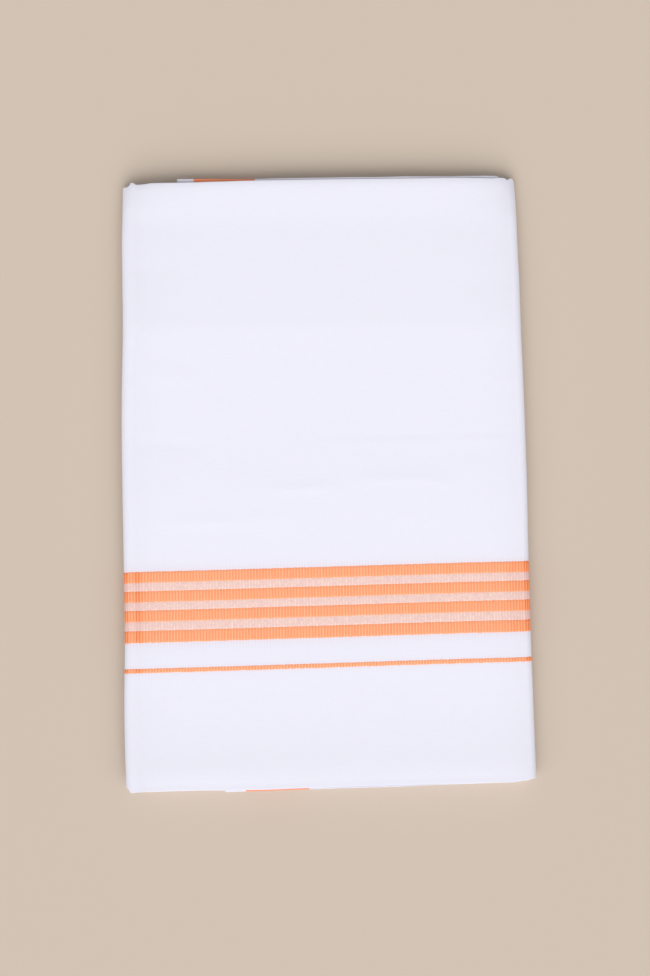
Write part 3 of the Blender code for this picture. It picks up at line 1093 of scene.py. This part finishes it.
def hidden_edges(line, seed):
    """How far from the packet's middle the hidden strip's lower and upper folds lie."""
    ran = distance_run(line)
    turned = (np.abs(line[:, 0]) - PACKET_WIDTH / 2 + SIDE_REACH) / SIDE_REACH
    drawn_back = EDGE_DRAWN_BACK * np.clip(turned, 0, 1) ** 2
    edges = []
    for side_seed in (seed, seed + 10):
        edge = LAYER_EDGE - drawn_back
        for depth, size, shift in EDGE_WAVES:
            edge = edge + depth * waves(ran, np.zeros_like(ran), size, side_seed + shift)
        edges.append(edge)
    return edges


def beside_cut_end(line, level, run):
    """Which of a line's points lie where a cut end stands, at its level."""
    near = np.abs(line[:, 1] - level_height(level)) < SAME_LEVEL * LEVEL_PITCH
    return near & (np.abs(line[:, 0]) < run[1])


tuck = -PACKET_WIDTH / 2 + HIDDEN_END_INSET + TUCK_GAP
back_fold = -PACKET_WIDTH / 2 + BACK_END_INSET + STRIP_WALL / 2
head_line = run_of(
    [at(tuck, 4), inner_turn(0, 4, HEAD_LEVEL), at(HEAD_RUN[0], HEAD_LEVEL)], HIDDEN_STEP
)
long_line = run_of(
    [
        at(tuck, 3),
        side_fold(1, 3, 3, 12, 8),
        side_fold(-1, 3, 12, 7, 8),
        inner_turn(3, 7, 8),
        end_fold(MIDDLE_FOLD, 8, 9, 5),
        inner_turn(2, 9, 6),
        side_fold(-1, 2, 6, 13, 8),
        side_fold(1, 2, 13, 2, 10),
        end_fold(back_fold + LEVEL_PITCH, 2, 1, 5),
        side_fold(1, 1, 1, 14, 10),
        side_fold(-1, 1, 14, 5, 8),
        inner_turn(1, 5, TAIL_LEVEL),
        at(TAIL_RUN[0], TAIL_LEVEL),
    ],
    HIDDEN_STEP,
)
head_low, head_high = hidden_edges(head_line, 2.3)
long_low, long_high = hidden_edges(long_line, 7.9)
head_high[beside_cut_end(head_line, HEAD_LEVEL, HEAD_RUN)] = CUT_BACK
long_low[beside_cut_end(long_line, TAIL_LEVEL, TAIL_RUN)] = CUT_BACK
lowest, highest = (level_height(level) for level in UNDER_CURL_LEVELS)
over_head_end = (long_line > (UNDER_CURL_RUN[0], lowest)).all(axis=1)
over_head_end &= (long_line < (UNDER_CURL_RUN[1], highest)).all(axis=1)
long_high[over_head_end] = np.minimum(long_high[over_head_end], UNDER_CURL)

plain_cotton, _, _, shade = cotton("plain_cotton")
dye(WHITE, shade)
for name, line, low, high in (
    ("hidden_stretch", long_line, -long_low, long_high),
    ("hidden_stretch_head", head_line, -head_low, head_high),
):
    hidden = strip_wall(name, line, low, high, HIDDEN_ROWS, nose_steps=5)
    hidden.data.materials.append(plain_cotton)
    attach(hidden, "root")
    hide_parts("inner_plies")

# ----------------------------------------------------------------------------------------
# The two cut ends of the cloth, each with an orange cross band 38 mm wide about 10 mm in
# from the cut.  They lie askew in the roll, so that the head end stands out of the upper
# end of the packet and the tail end out of the lower one.
# ----------------------------------------------------------------------------------------

# How far the two ends' folds stand out from the middle of the packet.  Columns: X, Y.
HEAD_END_FOLD = (
    (-0.0875, 0.1867),
    (-0.0400, 0.1860),
    (-0.0200, 0.1861),
    (0.0000, 0.1860),
    (0.0180, 0.1861),
    (0.0360, 0.1860),
    (0.0540, 0.1862),
    (0.0800, 0.1862),
    (0.0940, 0.1864),
    (0.1040, 0.1866),
    (0.1090, 0.1867),
    (0.1125, 0.1852),
)
TAIL_END_FOLD = (
    (-0.0630, 0.1853),
    (-0.0390, 0.1851),
    (-0.0150, 0.1848),
    (0.0100, 0.1847),
    (0.0400, 0.1846),
    (0.0550, 0.1842),
    (0.1000, 0.1838),
    (0.1085, 0.1836),
)

# How the two ends' folds spring up beside the packet's edge.  Columns: X, rise.
HEAD_CURL = (
    (-0.0875, 0.0001),
    (-0.0400, 0.0006),
    (-0.0300, 0.0011),
    (0.0000, 0.0015),
    (0.0500, 0.0016),
    (0.0800, 0.0012),
    (0.1125, 0.0007),
)
TAIL_CURL = ((-0.0630, 0.0009), (0.1085, 0.0009))
CURL_FROM = 0.1822
CURL_WIDTH = 0.0026

# Inside the packet each end stops at CUT_END_BACK.  Its cross band lies between two
# distances from its cut.
CUT_END_BACK = 0.1693
CUT_END_STEP = 0.0015
CUT_END_ROWS = 21
CROSS_BAND = (0.92, 0.29, 0.140)
BAND_MAP_END = 0.1
HEAD_BAND = (0.0098, 0.0474)
TAIL_BAND = (0.0118, 0.0490)


def banded_cotton(name, band):
    """White cotton with an orange band across it."""
    material, along, _, shade = cotton(name)
    stops = [(0.0, WHITE), (band[0], CROSS_BAND), (band[1], WHITE)]
    dye(banded(along, stops, BAND_MAP_END), shade)
    return material


for name, level, run, fold, curl, band in (
    ("head_end", HEAD_LEVEL, HEAD_RUN, HEAD_END_FOLD, HEAD_CURL, HEAD_BAND),
    ("tail_end", TAIL_LEVEL, TAIL_RUN, TAIL_END_FOLD, TAIL_CURL, TAIL_BAND),
):
    line = run_of([at(run[0], level), at(run[1], level)], CUT_END_STEP)
    nose = eased(fold, line[:, 0])
    back = np.full(len(line), CUT_END_BACK)
    low, high = (back, nose) if name == "head_end" else (-nose, -back)
    end = strip_wall(name, line, low, high, np.linspace(0, 1, CUT_END_ROWS), nose_steps=9)
    for vertex in end.data.vertices:
        share = min(max((abs(vertex.co.y) - CURL_FROM) / CURL_WIDTH, 0), 1)
        vertex.co.z += float(eased(curl, vertex.co.x)) * share * share * (3 - 2 * share)
    end.data.materials.append(banded_cotton(name + "_cotton", band))
    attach(end, "root")
    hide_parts(name + "_ply")

# ----------------------------------------------------------------------------------------
# The pale floor that the packet lies on, the camera almost straight above it, and the
# light.  The floor lies a hair below the packet, so that their faces never coincide.
# ----------------------------------------------------------------------------------------
FLOOR_HALF = 20
FLOOR_Z = -0.00002
FLOOR_PAINT = (0.56, 0.47, 0.39)

floor_mesh = bpy.data.meshes.new("floor")
sides = ((-1, -1), (1, -1), (1, 1), (-1, 1))
floor_corners = [(FLOOR_HALF * i, FLOOR_HALF * j, FLOOR_Z) for i, j in sides]
floor_mesh.from_pydata(floor_corners, [], [(0, 1, 2, 3)])
floor_paint = bpy.data.materials.new("floor_paint")
floor_paint.use_nodes = True
floor_shader = floor_paint.node_tree.nodes["Principled BSDF"]
feed(floor_shader.inputs["Base Color"], FLOOR_PAINT)
feed(floor_shader.inputs["Roughness"], 0.9)
floor_mesh.materials.append(floor_paint)
in_scene("floor", floor_mesh)

CAMERA_TURN = (5.8061, -1.5679, -1.2175)
camera_data = bpy.data.cameras.new("camera")
camera_data.lens = 50
camera_data.sensor_width = 36
camera = in_scene("camera", camera_data)
camera.location = (-0.02474, -0.08871, 0.82333)
camera.rotation_euler = Euler([math.radians(angle) for angle in CAMERA_TURN])
scene.camera = camera

# One broad soft light from the lower end of the packet, in three parts.  Columns: name, turn
# from straight on (to the right of the packet below 0), height above the floor, strength.
SOFT_LIGHT = (
    ("middle", 0, 36, 2.3),
    ("left", 52, 42, 0.95),
    ("right", -52, 42, 0.78),
)
LIGHT_SPREAD = 50
for name, aside, above, strength in SOFT_LIGHT:
    light = bpy.data.lights.new(name, "SUN")
    light.energy = strength
    light.angle = math.radians(LIGHT_SPREAD)
    turned = Euler((math.radians(90 - above), 0, math.radians(-aside)))
    in_scene(name, light).rotation_euler = turned

# The room's own light is white.  What shows behind the floor is as pale as its far edge.
ROOM_LIGHT = 0.34
BACKDROP = (0.665, 0.575, 0.490)
world = bpy.data.worlds.new("studio")
scene.world = world
world.use_nodes = True
studio = world.node_tree
room_light = studio.nodes["Background"]
feed(room_light.inputs["Color"], (1, 1, 1))
feed(room_light.inputs["Strength"], ROOM_LIGHT)
backdrop = node(studio, "ShaderNodeBackground", {"Color": BACKDROP})
seen = node(studio, "ShaderNodeLightPath").outputs["Is Camera Ray"]
either = node(
    studio,
    "ShaderNodeMixShader",
    {"Fac": seen, 1: room_light.outputs[0], 2: backdrop.outputs[0]},
)
feed(studio.nodes["World Output"].inputs["Surface"], either.outputs[0])
scene.view_settings.view_transform = "Standard"
